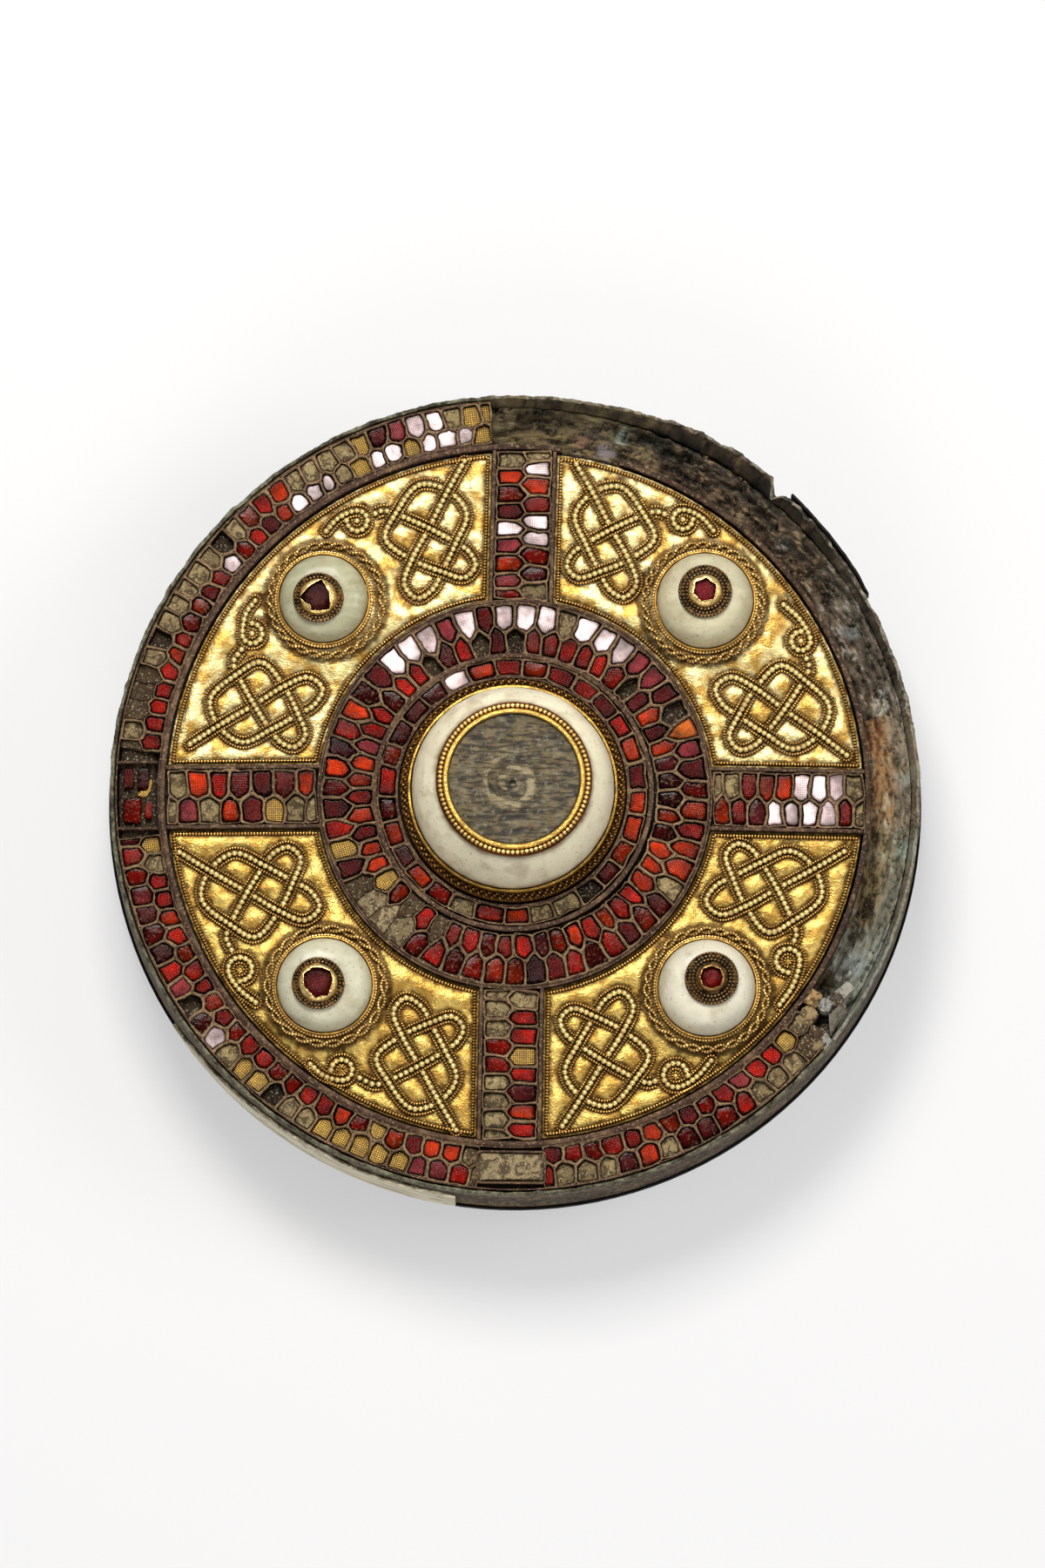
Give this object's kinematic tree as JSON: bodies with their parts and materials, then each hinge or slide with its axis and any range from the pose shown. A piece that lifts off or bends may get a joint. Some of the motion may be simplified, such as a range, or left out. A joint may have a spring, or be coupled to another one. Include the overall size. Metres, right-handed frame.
{
  "type": "disc brooch",
  "caption": "Round composite disc brooch: garnet cellwork in rings and a cross, gold filigree panels, four small shell bosses and a tall central one, part of the outer ring lost.",
  "frame": {"origin": "middle of the outline, on the surface that the pin fitting under the back stands on", "axes": "+Z out of the decorated face, +Y towards the top arm of the cross, +X towards the right arm"},
  "size_m": [0.0794, 0.0794, 0.0215],
  "materials": {
    "corroded_bronze": "corroded, matt",
    "pale_strip": "worn gilt, satin",
    "paste": "chalky, matt",
    "cell_walls": "tarnished, satin",
    "garnet": "polished, hatched foil",
    "gold": "bright gold",
    "shell": "weathered, smooth",
    "dark_disc": "tarnished, satin"
  },
  "bodies": {
    "root": {"back_plate": "corroded_bronze", "side_wall": "corroded_bronze", "pin_fitting": "corroded_bronze", "side_strip": "pale_strip", "filling": "paste", "block_paste": "paste", "outer_cellwork": "cell_walls", "cross_cellwork": "cell_walls", "middle_cellwork": "cell_walls", "outer_garnets": "garnet", "arm_garnets": "garnet", "middle_garnets": "garnet", "inner_garnets": "garnet", "block_garnet": "garnet", "centre_collar": "gold", "centre_shell": "shell", "centre_ring": "gold", "centre_disc": "dark_disc", "gold_panel_upper_left": "gold", "shell_boss_upper_left": "shell", "boss_cap_upper_left": "gold", "boss_garnet_upper_left": "garnet", "gold_panel_upper_right": "gold", "shell_boss_upper_right": "shell", "boss_cap_upper_right": "gold", "boss_garnet_upper_right": "garnet", "gold_panel_lower_left": "gold", "shell_boss_lower_left": "shell", "boss_cap_lower_left": "gold", "boss_garnet_lower_left": "garnet", "gold_panel_lower_right": "gold", "shell_boss_lower_right": "shell", "boss_cap_lower_right": "gold", "boss_garnet_lower_right": "garnet"}
  },
  "joints": []
}
